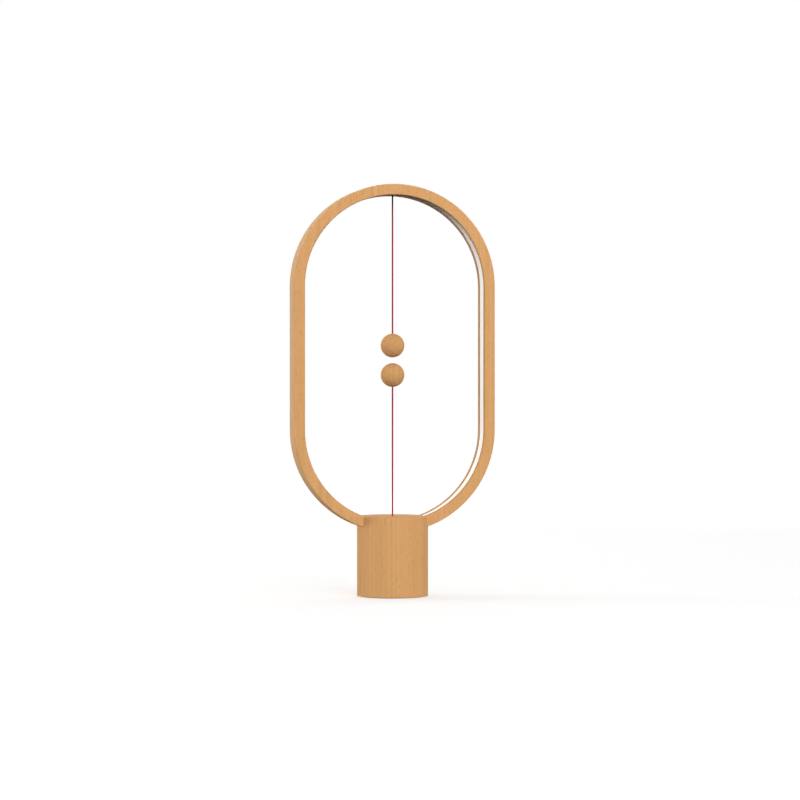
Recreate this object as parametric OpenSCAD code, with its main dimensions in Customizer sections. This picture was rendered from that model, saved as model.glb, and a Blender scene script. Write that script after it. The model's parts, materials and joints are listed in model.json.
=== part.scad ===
// Balance lamp: an oval beech loop with a recessed light strip stands on a round beech base.
// Two beech balls on red strings are the switch. The upper ball hangs from the loop's top. The lower
// ball's string runs through the base's top to a sprung slider, which works a small switch when the
// magnets in the balls pull that ball up.
// Millimetres, +Z up. The origin is the centre of the underside, on the table. The loop lies in the XZ
// plane, its faces look to -Y (front) and +Y (back), and the power inlet is at the back.

/* [Loop] */
// Height of the whole lamp, from the table to the top of the loop
height = 400; // [390:1:420]
// Width of the loop over its outer faces
loop_w = 198; // [190:1:204]
// Thickness of the loop's wood, from outer face to inner face
loop_t = 10.4; // [10:0.1:11]
// Depth of the loop, front to back
loop_d = 29; // [28:0.5:30]
// Height of the loop's lowest outer point, which is hidden in the base
loop_bottom = 62.6; // [62:0.1:63]
// Radius on the loop's long edges
loop_edge = 0.9; // [0.4:0.1:1.2]

/* [Light] */
// Width of the light strip's diffuser
diffuser_w = 18; // [17:0.1:20]
// Thickness of the diffuser
diffuser_t = 2; // [1.5:0.1:2.2]
// How far the diffuser's face lies below the loop's inner face
diffuser_recess = 0.9; // [0.8:0.1:2]
// Number of light chips on each straight limb
limb_chips = 8; // [4:1:10]
// Angle between light chips on the round ends, in degrees
chip_step = 10; // [10:10:30]

/* [Base] */
// Diameter of the base
base_d = 69.2; // [68:0.2:72]
// Height of the base's top face
base_h = 78; // [77.5:0.5:79]
// Thickness of the base's side wall
base_wall = 4.2; // [3.5:0.1:4.4]
// Thickness of the base's top
base_top_t = 4; // [3.5:0.1:4.4]
// Radius on the base's top edge
base_edge = 0.8; // [0.4:0.1:1.2]

/* [Balls and strings] */
// Diameter of each ball
ball_d = 23.1; // [22:0.1:24]
// Height of the upper ball's centre
upper_ball_z = 243.7; // [243:0.1:250]
// Height of the lower ball's centre
lower_ball_z = 215; // [212:0.1:215.5]
// Diameter of the strings
string_d = 1.5; // [1.2:0.1:1.6]
// Diameter of the magnets
magnet_d = 8; // [6:0.5:9]
// Thickness of the magnets
magnet_t = 5; // [3:0.5:5]

/* [Switch mechanism] */
// Travel of the sprung slider between off and on
slider_travel = 3; // [2:0.1:3]
// Curls of the return spring
spring_curls = 6; // [4:1:6]
// Wire diameter of the return spring
spring_wire = 0.5; // [0.4:0.05:0.6]

/* [Hidden] */
$fn = 96;

beech = "#D9A66E";
frosted = "#F4F0E8";
crimson = "#96222C";
steel = "#B9BCC0";
brass = "#C9A24A";
black_plastic = "#2B2B2D";
grey_plastic = "#8D9094";
board_green = "#1F6B45";
iron = "#5A5C60";
rubber = "#3A3A3C";
copper = "#B87440";
strip_white = "#E9E6DC";
chip_yellow = "#F2D98A";

// Small gaps: between pieces that lie together, and between pieces of a fit
seat = 0.02;
fit = 0.1;
// How far a cut runs on past the face that it opens
over = 1;

// Loop: two half rings of radius loop_r about these two heights, joined by straight limbs
loop_r = loop_w / 2;
loop_in = loop_r - loop_t;
top_c = height - loop_r;
bottom_c = loop_bottom + loop_r;
limb_h = top_c - bottom_c;
// Half of the gap between the loop's two ends, inside the base
end_gap = 6.5;

// Groove for the light, measured out from the loop's inner face
diffuser_in = loop_in + diffuser_recess;
diffuser_out = diffuser_in + diffuser_t;
groove_w = diffuser_w + 2 * fit;
groove_out = diffuser_out + 2.7;
ledge = 1;
diffuser_gap = end_gap + 6;
strip_w = 10;
strip_t = 0.4;
chip = [1, 3.5, 2.8];
strip_in = groove_out - strip_t - seat;
strip_end_x = 4;
lower_chip_arc = 70;

// String's pivot at the top, in the anchor's mouth just under the diffuser, and its pivot at the base's top
string_r = string_d / 2;
pivot_drop = 0.7;
upper_pivot_z = diffuser_in + top_c - pivot_drop;
mouth_rise = 0.25;
anchor_mouth = upper_pivot_z + mouth_rise;
lower_pivot_z = base_h;
top_knuckle_r = 1.1;
top_seat_r = 1.4;
knuckle_gap = 0.05;
anchor_r = 2.4;
anchor_top = height - 2.7;
anchor_cavity = 2.3;
anchor_cavity_r = 1.6;
string_play = 0.15;
string_hole_r = string_r + string_play;
knot_r = 1.4;

// Base, with its stack of cover, ballast and chassis from the bottom up
base_r = base_d / 2;
base_in = base_r - base_wall;
base_ceiling = base_h - base_top_t;
foot_gap = 0.6;
pad_t = 2;
cover_t = 2.5;
cover_r = base_in + 1.6;
cover_top = pad_t + cover_t;
ballast_r = base_in - 1;
ballast_t = 12;
plate_z = cover_top + ballast_t;
plate_t = 2.5;
boss_x = 23;
boss_r = 3.5;
boss_h = 9;
boss_roof = 2;
pad_r = cover_r - 0.5;
pad_recess_r = 12;
pad_recess = 0.8;

// Machine screws of the cover and the pillars, and the slot in every screw's head
screw_r = 1.5;
head_r = 2.8;
head_t = 1.8;
cover_screw_angles = [30, 150, 270];
cover_screw_l = 20;
pillar_screw_l = 14;
slot_depth = 0.5;

// Bush in the base's top for the lower string
bush_r = 2.6;
bush_head_r = 4;
bush_head_t = 1.5;
bush_play = 0.3;
bush_hole_r = string_d / 2 + bush_play;
bush_mouth_r = 1.9;
bush_top = base_h - 0.4;

// Clamp under the loop's ends, the wood bosses between them and the pillars that carry the chassis
strap_t = 1.5;
strap_w = 28;
strap_half_angle = 15;
strap_hole_r = 5.4;
wood_screw_r = 1;
wood_screw_l = 9;
wood_head_r = 2;
wood_head_t = 1.2;
wood_screw_angle = 11;
wood_screw_y = 12;
wood_boss_r = 4.5;
pillar_y = 10;
pillar_r = 5;
pillar_well_r = 3.1;
pillar_top = loop_bottom - strap_t - 2 * seat;
pillar_cap_t = 5;

// Slider in its guide. At rest the string holds it up, with the switch on
guide_r = 5.2;
guide_bore_r = 4.1;
guide_roof_z = 52;
guide_top = 54.5;
slider_head_r = 3.9;
slider_head = [39.3, 43.3];
stem_r = 1.5;
stem_top = 57;
stem_hole_r = 1.7;
finger_z = 41.3;
finger_r = 0.8;
finger_end = 9.6;
knot_recess_r = 1.7;
knot_recess = 1;
spring_r = 2.7;

// Switch beside the guide, upside down, with its lever under it
switch_x = [6.8, 26.6];
switch_w = 6.4;
switch_z = [44.4, 54.6];
switch_screw_x = [11.95, 21.45];
switch_screw_z = 47.6;
switch_screw_r = 1;
switch_head_r = 1.9;
switch_head_t = 1.2;
plunger_x = 15;
plunger_r = 0.7;
plunger_reach = 1.3;
terminal_x = [12, 16.5, 21];
terminal_size = [0.5, 3.2, 3.8];
terminal_top = switch_z[1] + seat + terminal_size[2];
lever_pivot = [24, 0, 43.2];
lever_tip = [8.5, 0, 42.7];
lever_t = 0.4;
lever_w = 3;
lever_pin_r = 0.45;
tip_r = 0.5;
eye_r = 0.9;
eye_play = 0.05;
ear_size = [2, 1, 3];
web_x = [4, switch_x[1] + 1];
web_t = 2.5;

// Circuit board and power inlet at the back
board_size = [22, 19, 1.6];
board_y = 8.5;
board_z = 23;
board_top = board_z + board_size[2];
board_notch_r = pillar_r + 0.4;
peg_places = [[-9, 10.5], [9, 10.5], [-8, 20], [8, 20]];
peg_r = 2;
board_screw_r = 0.8;
board_screw_l = 4;
board_head_r = 1.5;
board_head_t = 0.8;
driver_place = [-2.5, 16.4];
driver_size = [5, 4, 1.4];
coil_place = [5.6, 13.6];
coil_size = [2.8, 3.4, 2.6];
capacitor_places = [[-8.6, 16.4], [-4.4, 17.6]];
capacitor_r = 1.2;
capacitor_h = 4;
inlet_size = [8.94, 7.9, 3.26];
inlet_y = 21.5;
inlet_z = board_top + inlet_size[2] / 2 + seat;
inlet_wall = 0.3;
inlet_back = 1.2;
inlet_slot = [13, 7.6];
tongue_size = [6.6, 5.4, 0.7];

// Balls
ball_r = ball_d / 2;
magnet_r = magnet_d / 2;
cap_t = 2.05;
magnet_face = ball_r - cap_t;
magnet_back = magnet_face - magnet_t;
knot_room = 3;
knot_room_r = 2.2;
string_bottom = 0.05;

// Route of the leads inside the base: from the light strips' ends and the switch's terminals to the board
lead_r = 0.55;
lead_sides = 8;
lead_side = [1, 0.4, 0.2];
lead_top = bottom_c - groove_out + fit;
lead_foot = board_top + seat;
left_lead = [[-6, 0, lead_top], [-6, 0, 66.4], [-3.6, 0, 63.5], [-4, 0, 58], [-8.5, 0, 54],
             [-9.4, 5, 32], [-9.6, 13.4, 27.5], [-9.6, 13.4, lead_foot]];
right_lead = [[6, 0, lead_top], [6, 0, 66.4], [3.6, 0, 63.5], [3.4, -1.5, 58.5], [0, -3.2, 57],
              [-5, -3.2, 57], [-8.5, -3, 52], [-8, 3, 34], [-7.2, 13.4, 28.5], [-7.2, 13.4, lead_foot]];
terminal_tip = terminal_top + seat;
on_lead = [[12, 0, terminal_tip], [12, 0, 59.4], [12, 3, 60], [12, 8, 58], [11, 11, 50],
           [9.9, 14, 30], [9.9, 14, lead_foot]];
off_lead = [[21, 0, terminal_tip], [21, 0, 59.4], [21, 3, 60], [20, 8, 58], [16, 12, 44],
            [9.9, 17, 30], [9.9, 17, lead_foot]];

// ---- Profiles and shared shapes ----

// Bar section with round edges: x from 0 to t, centred on y
module rounded_bar(t, d, r) {
    translate([r, -d / 2]) square([t - 2 * r, d]);
    translate([0, r - d / 2]) square([t, d - 2 * r]);
    for (x = [r, t - r])
        for (side = [-1, 1])
            translate([x, side * (d / 2 - r)]) circle(r);
}

// Flat strip section from radius r_in to r_out
module strip_section(r_in, r_out, w) {
    translate([r_in, -w / 2]) square([r_out - r_in, w]);
}

module loop_section() {
    difference() {
        translate([loop_in, 0]) rounded_bar(loop_t, loop_d, loop_edge);
        strip_section(loop_in - over, diffuser_out, groove_w);
        strip_section(loop_in - over, groove_out, groove_w - 2 * ledge);
    }
}

// Half ring of the child section, about a line along Y through height z
module half_ring(z, turn) {
    translate([0, 0, z])
        rotate([90, 0, 0])
            rotate([0, 0, turn])
                rotate_extrude(angle = 180) children();
}

// The child section carried round the whole oval
module oval() {
    half_ring(top_c, 0) children();
    half_ring(bottom_c, 180) children();
    for (side = [0, 1])
        mirror([side, 0, 0])
            translate([0, 0, bottom_c]) linear_extrude(limb_h) children();
}

// Space between the oval's two ends, at its bottom
module bottom_gap(half_w) {
    translate([-half_w, -loop_d, 0]) cube([2 * half_w, 2 * loop_d, bottom_c]);
}

// Screw pointing up, its head's underside at z = 0
module screw(r, length, r_head, t_head) {
    cylinder(r = r, h = length);
    difference() {
        translate([0, 0, -t_head]) cylinder(r = r_head, h = t_head);
        translate([-r_head, -r / 4, -t_head - over]) cube([2 * r_head, r / 2, over + slot_depth]);
    }
}

// Places the children at each cover screw
module at_cover_screws() {
    for (a = cover_screw_angles)
        rotate([0, 0, a]) translate([boss_x, 0, 0]) children();
}

// Places the children on the loop's outer face at the clamp's wood screws, +Z pointing inwards
module at_clamp_screws() {
    for (side = [-1, 1])
        for (y = [-wood_screw_y, wood_screw_y])
            translate([0, y, bottom_c])
                rotate([0, side * wood_screw_angle, 0])
                    translate([0, 0, -loop_r - strap_t - seat]) children();
}

// Direction of a tube's line at point i, along its neighbours
function line_direction(line, i) =
    let (last = len(line) - 1,
         v = line[min(i + 1, last)] - line[max(i - 1, 0)])
    v / norm(v);

// Ring of points round point i of a line, turned to the side direction out
function tube_ring(line, out, i, r, sides) =
    let (along = line_direction(line, i),
         across = cross(along, out) / norm(cross(along, out)),
         up = cross(across, along))
    [for (k = [0 : sides - 1]) line[i] + r * (cos(360 * k / sides) * up + sin(360 * k / sides) * across)];

// Unbroken tube along a line, with one side direction for each point
module tube(line, outs, r, sides) {
    last = len(line) - 1;
    points = [for (i = [0 : last]) each tube_ring(line, outs[i], i, r, sides)];
    wall = [for (i = [0 : last - 1])
                for (k = [0 : sides - 1])
                    let (a = sides * i + k, b = sides * i + (k + 1) % sides)
                    each [[a, b + sides, b], [a, a + sides, b + sides]]];
    start = [for (k = [1 : sides - 2]) [0, k, k + 1]];
    end = [for (k = [1 : sides - 2]) [sides * last, sides * last + k + 1, sides * last + k]];
    polyhedron(points, concat(wall, start, end), convexity = 10);
}

// Insulated lead along hand-laid points
module lead(line) {
    tube(line, [for (p = line) lead_side], lead_r, lead_sides);
}

// ---- Loop and light ----

module loop_frame() {
    color(beech)
        difference() {
            oval() loop_section();
            bottom_gap(end_gap);
            translate([0, 0, top_c]) cylinder(r = anchor_r + fit / 2, h = anchor_top + seat - top_c);
            at_clamp_screws() cylinder(r = wood_screw_r + seat, h = wood_screw_l + over);
        }
}

module diffuser() {
    color(frosted)
        difference() {
            oval() strip_section(diffuser_in, diffuser_out - seat, diffuser_w);
            bottom_gap(diffuser_gap);
            translate([0, 0, top_c]) cylinder(r = anchor_r + fit, h = loop_r);
        }
}

// One flexible light strip: side is -1 for the left half of the loop and 1 for the right
module led_strip(side) {
    color(strip_white)
        intersection() {
            oval() strip_section(strip_in, strip_in + strip_t, strip_w);
            mirror([side > 0 ? 0 : 1, 0, 0])
                translate([strip_end_x, -strip_w, 0]) cube([loop_r, 2 * strip_w, height]);
        }
}

module led_strip_left() {
    led_strip(-1);
}

module led_strip_right() {
    led_strip(1);
}

// One light chip on the strip's face, its back at the strip's radius
module light_chip() {
    translate([strip_in - chip[0] - seat, -chip[1] / 2, -chip[2] / 2]) cube(chip);
}

module led_chips() {
    color(chip_yellow)
        for (side = [0, 1])
            mirror([side, 0, 0]) {
                for (a = [chip_step / 2 : chip_step : 90 - chip_step / 2])
                    translate([0, 0, top_c]) rotate([0, -a, 0]) light_chip();
                for (a = [chip_step / 2 : chip_step : lower_chip_arc - chip_step / 2])
                    translate([0, 0, bottom_c]) rotate([0, a, 0]) light_chip();
                for (i = [0 : limb_chips - 1])
                    translate([0, 0, bottom_c + (i + 0.5) * limb_h / limb_chips]) light_chip();
            }
}

// Turned plug in the loop's top, with a round seat for the string's knuckle
module string_anchor() {
    color(brass)
        difference() {
            translate([0, 0, anchor_mouth]) cylinder(r = anchor_r, h = anchor_top - anchor_mouth);
            translate([0, 0, upper_pivot_z]) sphere(top_seat_r);
            translate([0, 0, upper_pivot_z]) cylinder(r = string_hole_r, h = loop_t);
            translate([0, 0, anchor_top - anchor_cavity]) cylinder(r = anchor_cavity_r, h = loop_t);
        }
}

// The upper string's end inside the anchor, with its knot
module anchor_string() {
    color(crimson) {
        translate([0, 0, upper_pivot_z + top_knuckle_r + 2 * knuckle_gap])
            cylinder(r = string_r, h = anchor_top - anchor_cavity / 2 - upper_pivot_z - top_knuckle_r);
        translate([0, 0, anchor_top - anchor_cavity / 2]) sphere(top_knuckle_r);
    }
}

// ---- Base ----

module base_section() {
    difference() {
        union() {
            translate([0, foot_gap]) square([base_r, base_h - base_edge - foot_gap]);
            translate([0, base_h - base_edge]) square([base_r - base_edge, base_edge]);
            translate([base_r - base_edge, base_h - base_edge]) circle(base_edge);
        }
        square([base_in, base_ceiling]);
        square([cover_r + fit, cover_top]);
    }
}

// Slot with round ends through the back wall, for the plug
module inlet_opening() {
    for (side = [-1, 1])
        translate([side * (inlet_slot[0] - inlet_slot[1]) / 2, inlet_y, inlet_z])
            rotate([-90, 0, 0]) cylinder(d = inlet_slot[1], h = base_r);
    translate([-(inlet_slot[0] - inlet_slot[1]) / 2, inlet_y, inlet_z - inlet_slot[1] / 2])
        cube([inlet_slot[0] - inlet_slot[1], base_r, inlet_slot[1]]);
}

module base_shell() {
    color(beech)
        difference() {
            union() {
                rotate_extrude() base_section();
                for (side = [-1, 1])
                    translate([0, side * pillar_y, loop_bottom + 2 * fit])
                        cylinder(r = wood_boss_r, h = base_ceiling - loop_bottom);
            }
            difference() {
                half_ring(bottom_c, 180)
                    translate([loop_in - fit, 0]) rounded_bar(loop_t + 2 * fit, loop_d + 2 * fit, loop_edge);
                bottom_gap(end_gap - fit);
            }
            for (side = [-1, 1])
                translate([0, side * pillar_y, 0])
                    cylinder(r = screw_r + seat, h = pillar_top - pillar_cap_t + pillar_screw_l + over);
            cylinder(r = bush_r + fit / 2, h = base_h + over);
            inlet_opening();
        }
}

// Bush with a wide mouth, pressed into the base's top from below
module string_bush() {
    foot_z = base_ceiling - bush_head_t;
    color(black_plastic)
        difference() {
            union() {
                translate([0, 0, foot_z]) cylinder(r = bush_head_r, h = bush_head_t - seat);
                translate([0, 0, foot_z]) cylinder(r = bush_r, h = bush_top - foot_z);
            }
            translate([0, 0, foot_z - over]) cylinder(r = bush_hole_r, h = base_top_t);
            translate([0, 0, base_ceiling])
                cylinder(r1 = bush_hole_r, r2 = bush_mouth_r, h = bush_top - base_ceiling);
        }
}

// Steel strap under the loop's two ends
module loop_clamp() {
    color(steel)
        difference() {
            translate([0, 0, bottom_c])
                rotate([90, 0, 0])
                    rotate([0, 0, 270 - strap_half_angle])
                        rotate_extrude(angle = 2 * strap_half_angle)
                            strip_section(loop_r + seat, loop_r + seat + strap_t, strap_w);
            at_clamp_screws()
                translate([0, 0, -over]) cylinder(r = wood_screw_r + fit, h = strap_t + 2 * over);
            cylinder(r = strap_hole_r, h = base_h);
            for (side = [-1, 1])
                translate([0, side * pillar_y, 0]) cylinder(r = screw_r + fit, h = base_h);
        }
}

module clamp_screws() {
    color(steel)
        at_clamp_screws()
            translate([0, 0, -seat]) screw(wood_screw_r, wood_screw_l, wood_head_r, wood_head_t);
}

// One moulding: plate, screw bosses, pillars, the slider's guide, the switch's web and board pegs
module chassis() {
    color(grey_plastic)
        difference() {
            union() {
                translate([0, 0, plate_z + seat]) cylinder(r = ballast_r, h = plate_t);
                at_cover_screws() translate([0, 0, plate_z + plate_t]) cylinder(r = boss_r, h = boss_h);
                for (side = [-1, 1])
                    translate([0, side * pillar_y, plate_z + plate_t])
                        cylinder(r = pillar_r, h = pillar_top - plate_z - plate_t);
                translate([0, 0, plate_z + plate_t]) cylinder(r = guide_r, h = guide_top - plate_z - plate_t);
                translate([web_x[0], switch_w / 2 + fit, plate_z + plate_t])
                    cube([web_x[1] - web_x[0], web_t, switch_z[1] - plate_z - plate_t]);
                for (p = peg_places)
                    translate([p[0], p[1], plate_z + plate_t])
                        cylinder(r = peg_r, h = board_z - plate_z - plate_t - seat);
            }
            cylinder(r = guide_bore_r, h = guide_roof_z);
            cylinder(r = stem_hole_r, h = guide_top + over);
            translate([0, -finger_r - fit, finger_z - finger_r - slider_travel - fit])
                cube([guide_r + over, 2 * (finger_r + fit), slider_travel + 2 * (finger_r + fit)]);
            for (side = [-1, 1])
                translate([0, side * pillar_y, 0]) {
                    cylinder(r = pillar_well_r, h = pillar_top - pillar_cap_t);
                    cylinder(r = screw_r + fit, h = base_h);
                }
            at_cover_screws() cylinder(r = screw_r + seat, h = plate_z + plate_t + boss_h - boss_roof);
            for (p = peg_places)
                translate([p[0], p[1], board_top - board_screw_l - fit])
                    cylinder(r = board_screw_r + seat, h = board_screw_l);
            for (x = switch_screw_x)
                translate([x, 0, switch_screw_z])
                    rotate([-90, 0, 0]) cylinder(r = switch_screw_r + seat, h = switch_w);
        }
}

// Two long screws from the pillars' wells into the wood bosses
module pillar_screws() {
    color(steel)
        for (side = [-1, 1])
            translate([0, side * pillar_y, pillar_top - pillar_cap_t - seat])
                screw(screw_r, pillar_screw_l, head_r, head_t);
}

module ballast_weight() {
    color(iron)
        difference() {
            translate([0, 0, cover_top + seat]) cylinder(r = ballast_r, h = ballast_t - 2 * seat);
            at_cover_screws() cylinder(r = screw_r + 3 * fit, h = plate_z);
            for (side = [-1, 1])
                translate([0, side * pillar_y, 0]) cylinder(r = pillar_well_r + 6 * fit, h = plate_z);
        }
}

module bottom_cover() {
    color(black_plastic)
        difference() {
            translate([0, 0, pad_t + seat]) cylinder(r = cover_r, h = cover_t - 2 * seat);
            at_cover_screws() {
                cylinder(r = screw_r + fit, h = cover_top);
                cylinder(r = head_r + fit, h = pad_t + head_t + fit);
            }
        }
}

module cover_screws() {
    color(steel)
        at_cover_screws()
            translate([0, 0, pad_t + head_t + fit - seat]) screw(screw_r, cover_screw_l, head_r, head_t);
}

module foot_pad() {
    color(rubber)
        difference() {
            cylinder(r = pad_r, h = pad_t);
            translate([0, 0, -over]) cylinder(r = pad_recess_r, h = over + pad_recess);
        }
}

// ---- Electrics in the base ----

// Board with a round notch for the back pillar
module circuit_board() {
    color(board_green)
        difference() {
            translate([-board_size[0] / 2, board_y, board_z]) cube(board_size);
            translate([0, pillar_y, 0]) cylinder(r = board_notch_r, h = base_h);
            for (p = peg_places)
                translate([p[0], p[1], 0]) cylinder(r = board_screw_r + fit, h = base_h);
        }
}

module board_screws() {
    color(steel)
        for (p = peg_places)
            translate([p[0], p[1], board_top + seat])
                mirror([0, 0, 1]) screw(board_screw_r, board_screw_l, board_head_r, board_head_t);
}

// Driver chip, coil and two capacitors on the board
module board_parts() {
    z = board_top + seat;
    color(black_plastic) {
        translate([driver_place[0], driver_place[1], z]) cube(driver_size);
        translate([coil_place[0], coil_place[1], z]) cube(coil_size);
    }
    color(steel)
        for (p = capacitor_places)
            translate([p[0], p[1], z]) cylinder(r = capacitor_r, h = capacitor_h);
}

// Pressed steel shell of the power inlet, with round sides
module inlet_shell(grow, y0, y1) {
    r = inlet_size[2] / 2 - grow;
    half = inlet_size[0] / 2 - inlet_size[2] / 2;
    for (side = [-1, 1])
        translate([side * half, y0, inlet_z]) rotate([-90, 0, 0]) cylinder(r = r, h = y1 - y0);
    translate([-half, y0, inlet_z - r]) cube([2 * half, y1 - y0, 2 * r]);
}

module power_inlet() {
    color(steel)
        difference() {
            inlet_shell(0, inlet_y, inlet_y + inlet_size[1]);
            inlet_shell(inlet_wall, inlet_y + inlet_back, inlet_y + inlet_size[1] + over);
        }
}

module inlet_tongue() {
    color(black_plastic)
        translate([-tongue_size[0] / 2, inlet_y + inlet_back + seat, inlet_z - tongue_size[2] / 2])
            cube(tongue_size);
}

module switch_body() {
    color(black_plastic)
        difference() {
            union() {
                translate([switch_x[0], -switch_w / 2, switch_z[0]])
                    cube([switch_x[1] - switch_x[0], switch_w, switch_z[1] - switch_z[0]]);
                translate([plunger_x, 0, switch_z[0] - plunger_reach])
                    cylinder(r = plunger_r, h = 2 * plunger_reach);
                for (side = [-1, 1])
                    translate([lever_pivot[0] - ear_size[0] / 2,
                               side * (lever_w + 2 * fit + ear_size[1]) / 2 - ear_size[1] / 2,
                               lever_pivot[2] - ear_size[0] / 2])
                        cube(ear_size);
            }
            for (x = switch_screw_x)
                translate([x, -switch_w, switch_screw_z])
                    rotate([-90, 0, 0]) cylinder(r = switch_screw_r + fit, h = 2 * switch_w);
            translate([lever_pivot[0], -switch_w, lever_pivot[2]])
                rotate([-90, 0, 0]) cylinder(r = lever_pin_r + seat, h = 2 * switch_w);
        }
}

module switch_terminals() {
    color(brass)
        for (x = terminal_x)
            translate([x - terminal_size[0] / 2, -terminal_size[1] / 2, switch_z[1] + seat])
                cube(terminal_size);
}

module switch_screws() {
    color(steel)
        for (x = switch_screw_x)
            translate([x, -switch_w / 2 - seat, switch_screw_z])
                rotate([-90, 0, 0]) screw(switch_screw_r, switch_w + web_t, switch_head_r, switch_head_t);
}

module lever_pin() {
    color(steel)
        translate([lever_pivot[0], -lever_w / 2 - fit - ear_size[1], lever_pivot[2]])
            rotate([-90, 0, 0]) cylinder(r = lever_pin_r, h = lever_w + 2 * (fit + ear_size[1]));
}

module led_leads() {
    color(crimson) lead(left_lead);
    color(black_plastic) lead(right_lead);
}

module switch_leads() {
    color(copper) {
        lead(on_lead);
        lead(off_lead);
    }
}

// ---- Slider, spring and lever ----

module pull_slider() {
    color(brass)
        difference() {
            union() {
                translate([0, 0, slider_head[0]])
                    cylinder(r = slider_head_r, h = slider_head[1] - slider_head[0]);
                translate([0, 0, slider_head[0]]) cylinder(r = stem_r, h = stem_top - slider_head[0]);
            }
            cylinder(r = string_hole_r, h = base_h);
            translate([0, 0, slider_head[0] - over]) cylinder(r = knot_recess_r, h = over + knot_recess);
            translate([0, 0, finger_z]) rotate([0, 90, 0]) cylinder(r = finger_r + seat / 2, h = finger_end);
        }
}

// Cross pin in the slider's head, which reaches out through the guide's slot to the lever
module slider_finger() {
    color(steel)
        translate([string_hole_r + seat, 0, finger_z])
            rotate([0, 90, 0]) cylinder(r = finger_r, h = finger_end - string_hole_r - seat);
}

// Places of the spring's rings, as [turn in degrees, height]: straight up, round the curls, straight up
spring_z = [slider_head[1] + seat, guide_roof_z - 2 * seat];
spring_sides = 6;
spring_rings = 8;
spring_steps = spring_curls * spring_rings;
spring_lead_in = 1.5 * spring_wire;
spring_places = [
    [0, spring_z[0]],
    [0, spring_z[0] + spring_wire],
    for (i = [1 : spring_steps - 1])
        [360 * i / spring_rings,
         spring_z[0] + spring_lead_in
             + (spring_z[1] - spring_z[0] - 2 * spring_lead_in) * i / spring_steps],
    [0, spring_z[1] - spring_wire],
    [0, spring_z[1]]
];

function spring_point(place) = [spring_r * cos(place[0]), spring_r * sin(place[0]), place[1]];
function spring_line() = [for (place = spring_places) spring_point(place)];

// Least free space between the spring's curls, measured between ring centres over half a turn apart
function least_gap(line) =
    let (apart = spring_rings / 2 + 1)
    min([for (i = [0 : len(line) - 1 - apart])
             for (j = [i + apart : len(line) - 1]) norm(line[i] - line[j])]) - spring_wire;
echo(least_spring_gap = least_gap(spring_line()));

module return_spring() {
    outs = [for (place = spring_places) [cos(place[0]), sin(place[0]), 0]];
    color(steel) tube(spring_line(), outs, spring_wire / 2, spring_sides);
}

// The lower string inside the base, from its knot under the slider to the bush's mouth
module slider_string() {
    color(crimson) {
        translate([0, 0, slider_head[0]])
            cylinder(r = string_r, h = lower_pivot_z - string_r - knuckle_gap - slider_head[0]);
        translate([0, 0, slider_head[0] + knot_recess - knot_r]) sphere(knot_r);
    }
}

// Spring steel lever with a rolled eye on the pin and a rolled tip over the slider's finger
module switch_lever() {
    color(steel)
        difference() {
            union() {
                translate([lever_tip[0], -lever_w / 2, lever_tip[2] - lever_t / 2])
                    cube([lever_pivot[0] - lever_tip[0], lever_w, lever_t]);
                translate([lever_tip[0], -lever_w / 2, lever_tip[2]])
                    rotate([-90, 0, 0]) cylinder(r = tip_r, h = lever_w);
                translate([lever_pivot[0], -lever_w / 2, lever_pivot[2]])
                    rotate([-90, 0, 0]) cylinder(r = eye_r, h = lever_w);
            }
            translate([lever_pivot[0], -lever_w, lever_pivot[2]])
                rotate([-90, 0, 0]) cylinder(r = lever_pin_r + eye_play, h = 2 * lever_w);
        }
}

// ---- Balls and strings ----

// Ball with its magnet's bore opening towards +Z and its string's hole towards -Z, about the origin
module ball_body() {
    color(beech)
        difference() {
            sphere(ball_r);
            translate([0, 0, magnet_back - seat]) cylinder(r = magnet_r + seat, h = ball_r);
            translate([0, 0, magnet_back - knot_room]) cylinder(r = knot_room_r, h = knot_room + over);
            translate([0, 0, -ball_r - over]) cylinder(r = string_hole_r, h = 2 * ball_r);
        }
}

module ball_magnet() {
    color(steel) translate([0, 0, magnet_back]) cylinder(r = magnet_r, h = magnet_t);
}

// Thin wood cap over the magnet, finished flush with the ball
module ball_cap() {
    color(beech)
        intersection() {
            sphere(ball_r);
            translate([0, 0, magnet_face + seat]) cylinder(r = magnet_r, h = ball_r);
        }
}

// String inside a ball, with its knot behind the magnet, from height z0
module ball_string(z0) {
    translate([0, 0, z0]) cylinder(r = string_r, h = magnet_back - knot_r - z0);
    translate([0, 0, magnet_back - knot_r - fit]) sphere(knot_r);
}

module lower_knuckle() {
    color(crimson) translate([0, 0, lower_pivot_z]) sphere(string_r);
}

module lower_string() {
    z0 = lower_pivot_z + string_r + knuckle_gap;
    color(crimson)
        translate([0, 0, z0]) cylinder(r = string_r, h = lower_ball_z - ball_r - 2 * string_bottom - z0);
}

module lower_ball() {
    translate([0, 0, lower_ball_z]) ball_body();
}

module lower_magnet() {
    translate([0, 0, lower_ball_z]) ball_magnet();
}

module lower_ball_cap() {
    translate([0, 0, lower_ball_z]) ball_cap();
}

module lower_ball_string() {
    color(crimson) translate([0, 0, lower_ball_z]) ball_string(-ball_r - string_bottom);
}

module upper_knuckle() {
    color(crimson) translate([0, 0, upper_pivot_z]) sphere(top_knuckle_r);
}

module upper_string() {
    z1 = upper_pivot_z - top_knuckle_r - knuckle_gap;
    color(crimson)
        translate([0, 0, upper_ball_z]) mirror([0, 0, 1]) ball_string(upper_ball_z - z1);
}

module upper_ball() {
    translate([0, 0, upper_ball_z]) mirror([0, 0, 1]) ball_body();
}

module upper_magnet() {
    translate([0, 0, upper_ball_z]) mirror([0, 0, 1]) ball_magnet();
}

module upper_ball_cap() {
    translate([0, 0, upper_ball_z]) mirror([0, 0, 1]) ball_cap();
}

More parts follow.
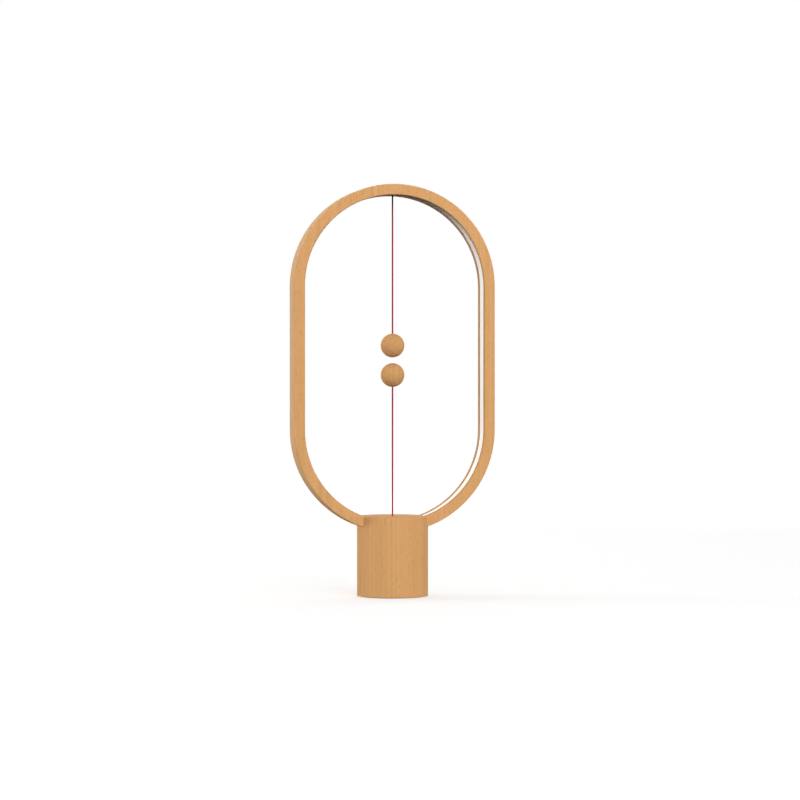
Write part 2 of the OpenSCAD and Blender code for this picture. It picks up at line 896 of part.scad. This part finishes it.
loop_frame();
diffuser();
led_strip_left();
led_strip_right();
led_chips();
string_anchor();
anchor_string();
base_shell();
string_bush();
loop_clamp();
clamp_screws();
chassis();
pillar_screws();
ballast_weight();
bottom_cover();
cover_screws();
foot_pad();
circuit_board();
board_parts();
board_screws();
power_inlet();
inlet_tongue();
switch_body();
switch_terminals();
switch_screws();
lever_pin();
led_leads();
switch_leads();
pull_slider();
slider_finger();
return_spring();
slider_string();
switch_lever();
lower_knuckle();
lower_string();
lower_ball();
lower_magnet();
lower_ball_cap();
lower_ball_string();
upper_knuckle();
upper_string();
upper_ball();
upper_magnet();
upper_ball_cap();
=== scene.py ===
"""Looks of the balance lamp: beech with its grain and flecks, the frosted light strip, twisted red
strings, and the small parts in and under the base. Metres, +Z up, the lamp's front looks to -Y."""
import json
import math

import bpy
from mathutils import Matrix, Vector


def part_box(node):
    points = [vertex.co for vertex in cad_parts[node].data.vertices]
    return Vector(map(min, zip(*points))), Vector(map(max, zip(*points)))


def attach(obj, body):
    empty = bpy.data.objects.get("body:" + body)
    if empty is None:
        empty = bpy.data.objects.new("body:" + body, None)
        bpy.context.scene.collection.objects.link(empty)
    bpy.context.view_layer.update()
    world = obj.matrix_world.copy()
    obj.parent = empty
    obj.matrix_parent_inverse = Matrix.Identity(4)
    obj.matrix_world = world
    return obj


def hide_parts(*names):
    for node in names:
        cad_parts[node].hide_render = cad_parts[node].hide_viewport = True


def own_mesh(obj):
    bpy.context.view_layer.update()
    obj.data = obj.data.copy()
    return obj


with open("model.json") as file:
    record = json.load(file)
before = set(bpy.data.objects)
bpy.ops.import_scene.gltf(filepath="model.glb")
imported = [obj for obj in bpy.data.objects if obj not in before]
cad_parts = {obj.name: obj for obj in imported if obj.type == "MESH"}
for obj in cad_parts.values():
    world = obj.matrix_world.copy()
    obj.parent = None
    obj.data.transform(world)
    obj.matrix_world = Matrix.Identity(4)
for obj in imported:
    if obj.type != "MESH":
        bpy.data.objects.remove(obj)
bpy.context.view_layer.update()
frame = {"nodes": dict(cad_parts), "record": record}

# Camera: it looks a little from the lamp's left, from just over half its height
CAMERA_TURN = math.radians(11.49)
CAMERA_DISTANCE = 2.6773
CAMERA_HEIGHT = 0.2093
CAMERA_PITCH = math.radians(-0.398)
CAMERA_PAN = math.radians(0.156)
CAMERA_REACH = 50
SENSOR_WIDTH = 36.0
IMAGE_WIDTH_PX = 800
FOCAL_LENGTH_PX = 2751.6

# Strings: three strands twisted together. The groove is a share of the radius, the lay is the height
# of one turn, and the upper string is tucked a little way into its ball.
STRING_RADIUS = 0.00075
STRAND_COUNT = 3
STRAND_GROOVE = 0.03
STRING_LAY = 0.0054
STRING_SIDES = 24
STRING_RING_STEP = 0.0003
STRING_TUCK = 0.0002

# Loop: an oval with straight sides. Radii are measured from the middle of its rounds.
LOOP_MIDDLE = 0.2313
LOOP_WOOD = 0.0104
GROOVE_DEPTH = 0.0059
GROOVE_HALF_WIDTH = 0.0091
loop_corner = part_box("loop_frame")[1]
LOOP_OUTER = loop_corner.x
LOOP_INNER = LOOP_OUTER - LOOP_WOOD
LOOP_ROOF = loop_corner.z - LOOP_WOOD
LOOP_STRAIGHT_HALF = loop_corner.z - LOOP_OUTER - LOOP_MIDDLE


# ---- Camera and strings ----

def make_camera():
    """The camera at the photograph's place and angle."""
    data = bpy.data.cameras.new("photo_camera")
    data.sensor_width = SENSOR_WIDTH
    data.lens = FOCAL_LENGTH_PX / IMAGE_WIDTH_PX * SENSOR_WIDTH
    data.clip_end = CAMERA_REACH
    camera = bpy.data.objects.new("photo_camera", data)
    place = Vector((-math.sin(CAMERA_TURN), -math.cos(CAMERA_TURN), 0)) * CAMERA_DISTANCE
    camera.location = (place.x, place.y, CAMERA_HEIGHT)
    camera.rotation_euler = (math.radians(90) + CAMERA_PITCH, 0, -(CAMERA_TURN + CAMERA_PAN))
    bpy.context.collection.objects.link(camera)
    bpy.context.scene.camera = camera


def add_mesh(name, points, faces):
    """A smooth-shaded mesh object of that name."""
    mesh = bpy.data.meshes.new(name)
    mesh.from_pydata(points, [], faces)
    mesh.validate()
    for face in mesh.polygons:
        face.use_smooth = True
    piece = bpy.data.objects.new(name, mesh)
    bpy.context.collection.objects.link(piece)
    return piece


def strand_radius(angle):
    """Radius of the twisted string's outline at an angle: full on each strand, less in the grooves."""
    return STRING_RADIUS * (1 - STRAND_GROOVE * (1 - abs(math.cos(STRAND_COUNT * angle / 2))))


def twisted_string(name, low, high):
    """An upright string of twisted strands from height low to height high, on the lamp's axis."""
    rings = round((high - low) / STRING_RING_STEP)
    points, faces = [], []
    for i in range(rings + 1):
        z = low + (high - low) * i / rings
        for k in range(STRING_SIDES):
            angle = 2 * math.pi * k / STRING_SIDES
            r = strand_radius(angle - 2 * math.pi * z / STRING_LAY)
            points.append((r * math.cos(angle), r * math.sin(angle), z))
    for i in range(rings):
        for k in range(STRING_SIDES):
            a = STRING_SIDES * i + k
            b = STRING_SIDES * i + (k + 1) % STRING_SIDES
            faces.append((a, b, b + STRING_SIDES, a + STRING_SIDES))
    faces.append(tuple(reversed(range(STRING_SIDES))))
    faces.append(tuple(range(STRING_SIDES * rings, STRING_SIDES * (rings + 1))))
    return add_mesh(name, points, faces)


def string_between(name, exit_z, ball_z, body, node):
    """The free stretch of a string, from its hole in the lamp to its ball."""
    piece = twisted_string(name, min(exit_z, ball_z), max(exit_z, ball_z))
    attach(piece, body)
    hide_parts(node)
    return piece


def make_strings():
    """Both strings."""
    upper_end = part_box("upper_string")[1].z
    upper_ball_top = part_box("upper_ball")[1].z
    lower_start, lower_end = (corner.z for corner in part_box("lower_string"))
    upper = string_between("upper_red_string", upper_end, upper_ball_top - STRING_TUCK,
                           "upper_ball", "upper_string")
    lower = string_between("lower_red_string", lower_start, lower_end, "lower_line", "lower_string")
    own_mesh(lower)
    return [upper, lower]


# ---- Materials ----

class Value:
    """What comes out of a node's socket. Python's operators on numbers add Math nodes."""

    def __init__(self, finish, socket):
        self.finish = finish
        self.socket = socket

    def math(self, operation, first, second):
        return self.finish.node("Math", {"operation": operation}, {0: first, 1: second})

    def __add__(self, other):
        return self.math("ADD", self, other)

    def __radd__(self, other):
        return self.math("ADD", other, self)

    def __sub__(self, other):
        return self.math("SUBTRACT", self, other)

    def __rsub__(self, other):
        return self.math("SUBTRACT", other, self)

    def __mul__(self, other):
        return self.math("MULTIPLY", self, other)

    def __rmul__(self, other):
        return self.math("MULTIPLY", other, self)

    def or_more(self, other):
        """The greater of the two."""
        return self.math("MAXIMUM", self, other)

    def above(self, edge, width):
        """0 below edge, 1 above edge plus width, and smooth between."""
        return self.finish.node("MapRange", {"interpolation_type": "SMOOTHSTEP"},
                                {"Value": self, "From Min": edge, "From Max": edge + width})


class Finish:
    """The nodes of a material or of the sky. Each of them is made by node()."""

    def __init__(self, owner):
        owner.use_nodes = True
        self.owner = owner
        self.tree = owner.node_tree

    def node(self, kind, settings=None, sockets=None, out=0):
        """Makes a node: its settings first, then the values or links of its sockets."""
        made = self.tree.nodes.new("ShaderNode" + kind)
        for name, value in (settings or {}).items():
            setattr(made, name, value)
        for name, value in (sockets or {}).items():
            self.feed(made.inputs[name], value)
        return Value(self, made.outputs[out])

    def feed(self, socket, value):
        """Links a value to a socket, or sets the socket to a plain number or colour."""
        if isinstance(value, Value):
            self.tree.links.new(value.socket, socket)
        elif isinstance(value, tuple) and socket.type == "RGBA":
            socket.default_value = (*value, 1)
        else:
            socket.default_value = value

    def sockets_of(self, name):
        """Inputs of a node that Blender put in the tree itself."""
        return self.tree.nodes[name].inputs

    def vector(self, operation, first, second=(0, 0, 0)):
        return self.node("VectorMath", {"operation": operation}, {0: first, 1: second})

    def length_of(self, vector):
        return self.node("VectorMath", {"operation": "LENGTH"}, {0: vector}, out="Value")

    def z_of(self, vector):
        return self.node("SeparateXYZ", None, {0: vector}, out="Z")

    def along(self, scale, shift=(0, 0, 0)):
        """Place on the piece, stretched by scale and then shifted."""
        place = self.node("TexCoord", out="Object")
        return self.node("VectorMath", {"operation": "MULTIPLY_ADD"}, {0: place, 1: scale, 2: shift})

    def noise(self, scale, detail=2.0, shift=(0, 0, 0), roughness=0.5):
        return self.node("TexNoise", None, {"Vector": self.along(scale, shift), "Scale": 1.0,
                                            "Detail": detail, "Roughness": roughness})

    def blend(self, factor, first, second, way="MIX"):
        """Colour between first and second."""
        return self.node("Mix", {"data_type": "RGBA", "blend_type": way},
                         {0: factor, 6: first, 7: second}, out=2)

    def mixed(self, factor, first, second):
        """Shader between first and second."""
        return self.node("MixShader", None, {0: factor, 1: first, 2: second})


def new_finish(name):
    """The nodes of a new material of that name."""
    return Finish(bpy.data.materials.new(name))


def surface(f, colour, roughness, height, depth, **constants):
    """Sets the main shader: colour, roughness, a bump of that depth, and sockets that stay constant."""
    shader = f.sockets_of("Principled BSDF")
    f.feed(shader["Base Color"], colour)
    f.feed(shader["Roughness"], roughness)
    for name, value in constants.items():
        shader[name.replace("_", " ")].default_value = value
    f.feed(shader["Normal"], f.node("Bump", None, {"Strength": 1.0, "Distance": depth, "Height": height}))
    return f.owner


# Beech: its colours, the pitch of its growth rings and how far they wander
BEECH_LIGHT = (0.765, 0.424, 0.176)
BEECH_DEEP = (0.645, 0.335, 0.127)
BEECH_ROSY = (0.740, 0.378, 0.158)
BEECH_FLECK = (0.400, 0.185, 0.066)
RING_PITCH = 0.0019
RING_WANDER = 0.0016
BEECH_GRAIN_DEPTH = 0.00003

# Marks in the beech, in noise cells to the metre across the grain twice and along it
WANDER_SCALE = (14, 14, 4)
BAND_SCALE = (70, 70, 2.5)
ROSY_SCALE = (95, 95, 38)
FIBRE_SCALE = (1150, 1150, 26)
FLECK_SCALE = (1700, 1700, 260)
PORE_SCALE = (3800, 3800, 900)


def beech(name, trunk, tone=1.0, painted_light=None):
    """Oiled beech: upright grain, growth rings about the trunk's middle, silky fibres and short dark flecks.
    The last argument, if given, is a function that paints shade and sheen into the wood's colour by its
    place on the piece."""
    f = new_finish(name)
    wander = f.noise(WANDER_SCALE, 2.0, trunk)
    reach = f.length_of(f.along((1, 1, 0), (*trunk[:2], 0)))
    ring_place = (reach + wander * RING_WANDER) * (1 / RING_PITCH)
    rings = f.node("TexNoise", {"noise_dimensions": "1D"}, {"W": ring_place, "Scale": 1.0, "Detail": 2.0})
    bands = f.noise(BAND_SCALE, 2.0, trunk)
    fibres = f.noise(FIBRE_SCALE, 4.0, trunk, 0.65)
    rosy = f.noise(ROSY_SCALE, 1.0, trunk)
    flecks = f.noise(FLECK_SCALE, 1.0, trunk).above(0.62, 0.08)
    pores = f.noise(PORE_SCALE, 0.0, trunk).above(0.67, 0.06)
    deep = rings.above(0.28, 0.44) * 0.50 + bands.above(0.30, 0.40) * 0.24 + fibres.above(0.36, 0.30) * 0.26
    wood = f.blend(deep, BEECH_LIGHT, BEECH_DEEP)
    wood = f.blend(rosy.above(0.42, 0.22) * 0.60, wood, BEECH_ROSY)
    wood = f.blend(flecks * 0.34, wood, BEECH_FLECK)
    wood = f.blend(pores * 0.26, wood, BEECH_FLECK)
    wood = f.blend(1.0, wood, (tone,) * 3, "MULTIPLY")
    # painted shade and sheen, from the function given for them
    if painted_light:
        wood = painted_light(f, wood)
    rough = 0.58 + fibres * 0.14 + flecks * 0.06
    height = 0.6 * fibres - flecks * 0.5 - pores * 0.7
    return surface(f, wood, rough, height, BEECH_GRAIN_DEPTH, IOR=1.45, Specular_IOR_Level=0.06)


# Painted shade and painted sheen that the loop's wood is multiplied by, how far they run round its edges,
# and how softly they end
GROOVE_PAINTED_SHADE = (0.72, 0.81, 0.97)
ROOF_PAINTED_SHADE = (0.36, 0.37, 0.40)
OUTSIDE_PAINTED_SHEEN = (0.94, 1.05, 1.26)
TINT_SPILL = 0.0001
INNER_TINT_END = 0.0007
WALL_TINT_END = 0.0002
FLOOR_TINT_END = 0.001
OUTSIDE_TINT_DEPTH = 0.0005
OUTSIDE_TINT_END = 0.0004


def upward(f):
    """How far a surface faces up, from -1, straight down, to 1."""
    return f.z_of(f.node("TexCoord", out="Normal"))


def faces_down(f):
    """1 where a surface faces straight down, 0 from about 60 degrees off that."""
    return 1 - upward(f).above(-0.97, 0.47)


def loop_radius(f):
    """Distance from the loop's middle line: LOOP_INNER on its inner face, LOOP_OUTER on its outside."""
    folded = f.vector("ABSOLUTE", f.along((1, 0, 1), (0, 0, -LOOP_MIDDLE)))
    past_straight = f.vector("SUBTRACT", folded, (0, 0, LOOP_STRAIGHT_HALF))
    return f.length_of(f.vector("MAXIMUM", past_straight, (0, 0, 0)))


def loop_painted_shade_and_sheen(f, wood):
    """Painted shade: browner on the loop's inner edges and in its groove, darkest where they face down under
    the roof. Painted sheen: a little greyer and paler on its outside.
    """
    radius = loop_radius(f)
    sideways = f.length_of(f.along((0, 1, 0)))
    outside = radius.above(LOOP_OUTER - OUTSIDE_TINT_DEPTH, OUTSIDE_TINT_END)
    inner_face = 1 - radius.above(LOOP_INNER + TINT_SPILL, INNER_TINT_END)
    between_walls = 1 - sideways.above(GROOVE_HALF_WIDTH + TINT_SPILL, WALL_TINT_END)
    in_groove = between_walls * (1 - radius.above(LOOP_INNER + GROOVE_DEPTH, FLOOR_TINT_END))
    # painted shade on the inner edges and in the groove, deepest where they face down under the roof
    painted_shade = f.blend(faces_down(f), GROOVE_PAINTED_SHADE, ROOF_PAINTED_SHADE)
    wood = f.blend(inner_face.or_more(in_groove), wood, painted_shade, "MULTIPLY")
    # painted sheen: the outside made a little greyer and paler
    return f.blend(outside, wood, OUTSIDE_PAINTED_SHEEN, "MULTIPLY")


# Frosted cover: its white and haze, painted shade for faces turned down, painted light glowing from faces
# turned up, and the depth of its grit
COVER_WHITE = (0.94, 0.915, 0.880)
COVER_HAZE = (0.91, 0.885, 0.850)
COVER_PAINTED_SHADE = (0.40, 0.37, 0.34)
COVER_PAINTED_GLOW = (0.24, 0.205, 0.170)
COVER_GRIT_DEPTH = 0.000004


def frosted_cover(name):
    """White acrylic with a sanded face, painted shade on faces turned down, and a faint painted light that
    glows from faces turned up.
    """
    f = new_finish(name)
    haze = f.noise((55, 55, 40), 2.0)
    grit = f.noise((5200, 5200, 5200), 2.0)
    colour = f.blend(haze.above(0.3, 0.5), COVER_WHITE, COVER_HAZE)
    # painted shade where the cover faces down
    colour = f.blend(faces_down(f), colour, COVER_PAINTED_SHADE)
    # painted light: an emission that grows as the cover turns to face up
    glow = f.blend(upward(f).above(-0.95, 1.3), (0, 0, 0), COVER_PAINTED_GLOW)
    f.feed(f.sockets_of("Principled BSDF")["Emission Color"], glow)
    return surface(f, colour, 0.70 + grit * 0.12, grit, COVER_GRIT_DEPTH,
                   Specular_IOR_Level=0.0, Emission_Strength=1.0)


CORD_RED = (0.390, 0.011, 0.016)
CORD_DEEP = (0.350, 0.010, 0.014)
CORD_WORN = (0.460, 0.022, 0.030)
CORD_SHADED = (0.012, 0.003, 0.004)
CORD_FIBRE_DEPTH = 0.00001
SHADED_LENGTH = 0.024
SHADED_SHARE = 0.93


def red_cord(name):
    """Crimson cotton: fibres along each strand, and painted shade that darkens its end under the loop's
    roof.
    """
    f = new_finish(name)
    fibres = f.noise((5200, 5200, 900), 3.0, roughness=0.7)
    worn = f.noise((260, 260, 60), 2.0)
    colour = f.blend(fibres.above(0.35, 0.3), CORD_RED, CORD_DEEP)
    colour = f.blend(worn.above(0.5, 0.3) * 0.2, colour, CORD_WORN)
    # painted shade on the string's top, darkest where it meets the loop's roof
    shaded = f.z_of(f.along((1, 1, 1))).above(LOOP_ROOF - SHADED_LENGTH, SHADED_LENGTH)
    colour = f.blend(shaded * SHADED_SHARE, colour, CORD_SHADED)
    return surface(f, colour, 0.80 + fibres * 0.15, fibres, CORD_FIBRE_DEPTH, Specular_IOR_Level=0.0)


def moulded(name, light, dark, roughness, depth=0.00002):
    """Moulded plastic or rubber with a fine eroded face and slight flow marks."""
    f = new_finish(name)
    grain = f.noise((2600, 2600, 2600), 3.0)
    flow = f.noise((70, 70, 35), 2.0)
    colour = f.blend(flow.above(0.3, 0.4), light, dark)
    return surface(f, colour, roughness + grain * 0.14, grain, depth)


def brushed(name, light, dark, roughness, depth=0.00001):
    """Metal with fine tool lines and a few dull patches."""
    f = new_finish(name)
    lines = f.noise((3200, 3200, 90), 3.0, roughness=0.6)
    dull = f.noise((240, 240, 240), 2.0)
    colour = f.blend(dull.above(0.4, 0.3), light, dark)
    rough = roughness + lines * 0.16 + dull.above(0.5, 0.2) * 0.08
    return surface(f, colour, rough, lines, depth, Metallic=1.0)


def board_face(name, mask, track, depth=0.00002):
    """Solder mask over faint copper tracks."""
    f = new_finish(name)
    tracks = f.node("TexBrick", {"offset": 0.37}, {"Vector": f.along((420, 420, 420)), "Scale": 1.0,
                                                   "Mortar Size": 0.16, "Mortar Smooth": 0.4}, out="Fac")
    weave = f.noise((1900, 1900, 1900), 1.0)
    return surface(f, f.blend(tracks, mask, track), 0.32 + weave * 0.10, tracks, depth)


def make_finishes():
    """One material for each of the record's slots."""
    return {
        "beech": beech("beech", (0.11, 0.16, 0.02), 1.08, loop_painted_shade_and_sheen),
        "diffuser": frosted_cover("frosted_acrylic"),
        "red_string": red_cord("crimson_cotton"),
        "light_strip": moulded("light_strip_film", (0.82, 0.80, 0.72), (0.74, 0.72, 0.64), 0.35),
        "light_chip": moulded("light_chip_gel", (0.88, 0.70, 0.25), (0.80, 0.60, 0.18), 0.22),
        "brass": brushed("turned_brass", (0.62, 0.41, 0.14), (0.46, 0.29, 0.09), 0.26),
        "steel": brushed("zinc_plated_steel", (0.56, 0.57, 0.59), (0.43, 0.44, 0.46), 0.30),
        "magnet": brushed("nickel_plate", (0.66, 0.65, 0.62), (0.56, 0.55, 0.53), 0.12),
        "cast_iron": moulded("painted_cast_iron", (0.10, 0.10, 0.11), (0.06, 0.06, 0.065), 0.50, 0.00012),
        "black_plastic": moulded("black_moulding", (0.030, 0.030, 0.032), (0.018, 0.018, 0.019), 0.42),
        "grey_plastic": moulded("grey_moulding", (0.29, 0.30, 0.32), (0.23, 0.24, 0.26), 0.50),
        "circuit_board": board_face("solder_mask", (0.016, 0.120, 0.048), (0.045, 0.230, 0.085)),
        "rubber": moulded("foot_rubber", (0.034, 0.034, 0.035), (0.022, 0.022, 0.023), 0.70, 0.00006),
        "lead_insulation": moulded("lead_insulation", (0.25, 0.030, 0.028), (0.17, 0.018, 0.018), 0.38),
    }


# Beech pieces cut from other places in the trunk, so that their grain doesn't run on from the loop's
OWN_BEECH = {
    "base_shell": ("beech_base", (-0.06, 0.17, 0.31), 1.07),
    "upper_ball": ("beech_upper_ball", (0.05, -0.12, 0.11), 0.95),
    "lower_ball": ("beech_lower_ball", (-0.13, 0.05, 0.47), 0.95),
}

# The cap over each magnet is cut from its own ball
CAPS = {"upper_ball_cap": "upper_ball", "lower_ball_cap": "lower_ball"}


def dress_nodes(finishes):
    """Gives each CAD node the material of its slot, or the beech of its own."""
    own = {node: beech(*words) for node, words in OWN_BEECH.items()}
    for part in frame["record"]["subparts"]:
        node = part["node"]
        finish = own.get(CAPS.get(node, node), finishes[part["material_slot"]])
        for slot in frame["nodes"][node].material_slots:
            slot.material = finish


# ---- Floor, light and background ----

# Floor: its glow near the lamp and far off, and its own shade to the camera and to the lamp
FLOOR_HALF_WIDTH = 6.0
FLOOR_GLOW_NEAR = 0.425
FLOOR_GLOW_FAR = 0.65
FLOOR_NEAR_EDGE = 1.1
FLOOR_FADE = 1.2
FLOOR_SHADE = 0.75
FLOOR_DARK = 0.03

# Radiance of the sky that lights the lamp: a bright band above the horizon, then level to the top. Below the
# horizon it reaches only what is under the floor.
BELOW_LEVEL = 0.9
HORIZON_SOFTNESS = 0.02
BAND_LEVEL = 2.3
BAND_TOP = math.sin(math.radians(10))
BAND_FADE = math.sin(math.radians(14)) - BAND_TOP
UPPER_LEVEL = 0.40

# Softboxes, aimed at the balls: azimuth from the front to the right and elevation, in degrees, then the
# distance, the side of the square, and what a white surface that faces the lamp gets from it
AIM_HEIGHT = 0.23
SOFTBOXES = {
    "key_softbox": (15, 33, 2.4, 1.3, 0.13),
    "low_front_softbox": (10, -2, 1.9, 0.6, 0.45),
    "left_softbox": (-112, 7, 2.2, 0.8, 0.35),
    "back_softbox": (172, 52, 2.4, 1.4, 0.20),
}


def seen_directly(f):
    """1 for rays from the camera or off gloss and glass, which see the white background."""
    camera, glossy, through = (f.node("LightPath", out=name)
                               for name in ("Is Camera Ray", "Is Glossy Ray", "Is Transmission Ray"))
    return camera.or_more(glossy).or_more(through)


def make_floor():
    """White floor that keeps the lamp's shadow and throws no light back at it. It is clear from below."""
    h = FLOOR_HALF_WIDTH
    floor = add_mesh("floor", [(-h, -h, 0), (h, -h, 0), (h, h, 0), (-h, h, 0)], [(0, 1, 2, 3)])
    f = new_finish("white_floor")
    away = f.length_of(f.along((1, 1, 0)))
    near, far = (f.node("Emission", None, {"Color": (1, 1, 1), "Strength": level})
                 for level in (FLOOR_GLOW_NEAR, FLOOR_GLOW_FAR))
    glow = f.mixed(away.above(FLOOR_NEAR_EDGE, FLOOR_FADE), near, far)
    shade, dark = (f.node("BsdfDiffuse", None, {"Color": (level,) * 3})
                   for level in (FLOOR_SHADE, FLOOR_DARK))
    white = f.node("AddShader", None, {0: glow, 1: shade})
    clear = f.node("BsdfTransparent", None, {"Color": (1, 1, 1)})
    from_above = f.mixed(seen_directly(f), dark, white)
    one_sided = f.mixed(f.node("NewGeometry", out="Backfacing"), from_above, clear)
    f.feed(f.sockets_of("Material Output")["Surface"], one_sided)
    floor.data.materials.append(f.owner)


def make_sky():
    """White to the camera, and a soft light from above the horizon for the lamp."""
    world = bpy.data.worlds.new("studio")
    bpy.context.scene.world = world
    f = Finish(world)
    f.tree.nodes.remove(f.tree.nodes["Background"])
    up = f.z_of(f.node("TexCoord", out="Generated"))
    below, band, upper, white = (f.node("Background", None, {"Color": (1, 1, 1), "Strength": level})
                                 for level in (BELOW_LEVEL, BAND_LEVEL, UPPER_LEVEL, 1.0))
    light = f.mixed(up.above(0.0, HORIZON_SOFTNESS), below, band)
    light = f.mixed(up.above(BAND_TOP, BAND_FADE), light, upper)
    f.feed(f.sockets_of("World Output")["Surface"], f.mixed(seen_directly(f), light, white))


def make_softbox(name, azimuth, elevation, distance, size, level):
    """A square lamp aimed at the balls, from the numbers of SOFTBOXES."""
    turn, lift = math.radians(azimuth), math.radians(elevation)
    way = Vector((math.sin(turn) * math.cos(lift), -math.cos(turn) * math.cos(lift), math.sin(lift)))
    data = bpy.data.lights.new(name, "AREA")
    data.size = size
    data.energy = level * (math.pi * distance) ** 2
    lamp = bpy.data.objects.new(name, data)
    lamp.location = Vector((0, 0, AIM_HEIGHT)) + way * distance
    lamp.rotation_euler = way.to_track_quat("Z", "Y").to_euler()
    bpy.context.collection.objects.link(lamp)


make_camera()
strings = make_strings()
finishes = make_finishes()
dress_nodes(finishes)
for string in strings:
    string.data.materials.append(finishes["red_string"])
make_floor()
make_sky()
for name, numbers in SOFTBOXES.items():
    make_softbox(name, *numbers)
bpy.context.scene.view_settings.view_transform = "Standard"
